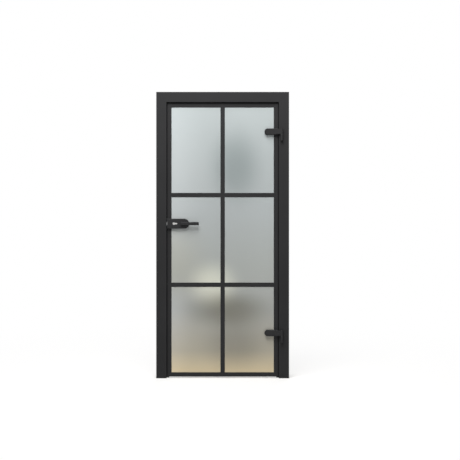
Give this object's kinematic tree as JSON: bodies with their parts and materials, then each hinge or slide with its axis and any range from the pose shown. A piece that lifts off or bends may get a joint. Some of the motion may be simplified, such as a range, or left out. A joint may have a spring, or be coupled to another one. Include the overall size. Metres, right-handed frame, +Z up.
{
  "type": "glass interior door",
  "caption": "Interior door: satin glass leaf with a bonded black grid on clamp hinges in a rebated black frame with casings, with a lever and cylinder lock.",
  "frame": {"origin": "on the floor at the middle of the doorway, in the plane of the front wall face", "axes": "+X toward the hinge side, +Y through the doorway away from the side the leaf opens to, +Z up"},
  "size_m": [0.97, 0.153, 2.091],
  "materials": {
    "frame_lacquer": "matte black lacquer on fibreboard",
    "bar_anodised": "matte black anodised",
    "fitting_black": "fine matte black coating",
    "satin_glass": "satin etched",
    "seal_rubber": "soft black rubber",
    "bright_steel": "satin bright steel",
    "nylon": "natural nylon",
    "black_plastic": "black nylon",
    "black_steel": "blackened steel"
  },
  "bodies": {
    "frame": {"strike_lining": "frame_lacquer", "hinge_lining": "frame_lacquer", "head_lining": "frame_lacquer", "front_casing_strike": "frame_lacquer", "front_casing_hinge": "frame_lacquer", "front_casing_head": "frame_lacquer", "rear_casing_strike": "frame_lacquer", "rear_casing_hinge": "frame_lacquer", "rear_casing_head": "frame_lacquer", "seal_strike": "seal_rubber", "seal_hinge": "seal_rubber", "seal_head": "seal_rubber", "corner_screws": "bright_steel", "strike_plate": "bright_steel", "strike_box": "black_plastic", "strike_screws": "bright_steel", "receiver_upper": "bright_steel", "receiver_lower": "bright_steel", "receiver_screws": "bright_steel", "frame_knuckle_upper": "fitting_black", "frame_knuckle_lower": "fitting_black", "hinge_pin_upper": "bright_steel", "hinge_pin_lower": "bright_steel", "hinge_washers": "nylon"},
    "leaf": {"glass_pane": "satin_glass", "border_bar_top": "bar_anodised", "border_bar_bottom": "bar_anodised", "border_bar_lock_side": "bar_anodised", "border_bar_hinge_side": "bar_anodised", "upright_bar": "bar_anodised", "cross_bar_upper": "bar_anodised", "cross_bar_lower": "bar_anodised", "clamp_front_upper": "fitting_black", "clamp_front_lower": "fitting_black", "clamp_rear_upper": "fitting_black", "clamp_rear_lower": "fitting_black", "clamp_gaskets": "seal_rubber", "clamp_sleeves": "nylon", "clamp_screws": "black_steel", "hinge_bushes": "nylon", "lock_cover_front": "fitting_black", "lock_cover_rear": "fitting_black", "lock_gaskets": "seal_rubber", "lock_case": "bright_steel", "lock_lid": "bright_steel", "lock_forend": "bright_steel", "lock_screws": "black_steel", "lever_bushes": "black_plastic", "cylinder_body": "bright_steel", "cylinder_screw": "bright_steel"},
    "levers": {"lever_front": "fitting_black", "lever_rear": "fitting_black", "spindle": "bright_steel", "follower": "bright_steel", "lever_grub_screws": "black_steel"},
    "latch": {"latch_bolt": "bright_steel"},
    "dead_bolt": {"dead_bolt": "bright_steel"},
    "key_plug": {"cylinder_plugs": "bright_steel", "cylinder_cam": "bright_steel"}
  },
  "joints": [
    {"name": "door_swing", "type": "hinge", "parent": "frame", "child": "leaf", "pos_m": [0.4305, -0.027, 1.0655], "axis": [0, 0, 1], "range_deg": [0, 110]},
    {"name": "lever_turn", "type": "hinge", "parent": "leaf", "child": "levers", "pos_m": [-0.297, 0.004, 1.129], "axis": [0, 1, 0], "range_deg": [0, 40], "stiffness_Nm_per_rad": 1, "springref_deg": -34.38},
    {"name": "latch_slide", "type": "slide", "parent": "leaf", "child": "latch", "axis": [1, 0, 0], "range_m": [0, 0.0126]},
    {"name": "key_turn", "type": "hinge", "parent": "leaf", "child": "key_plug", "pos_m": [-0.356, 0.004, 1.129], "axis": [0, 1, 0], "range_deg": [0, 48]},
    {"name": "bolt_slide", "type": "slide", "parent": "leaf", "child": "dead_bolt", "axis": [-1, 0, 0], "range_m": [0, 0.014]}
  ],
  "couplings": [
    {"joint": "latch_slide", "follows": "lever_turn", "m_per_rad": 0.018},
    {"joint": "key_turn", "follows": "bolt_slide", "rad_per_m": 59.83}
  ]
}
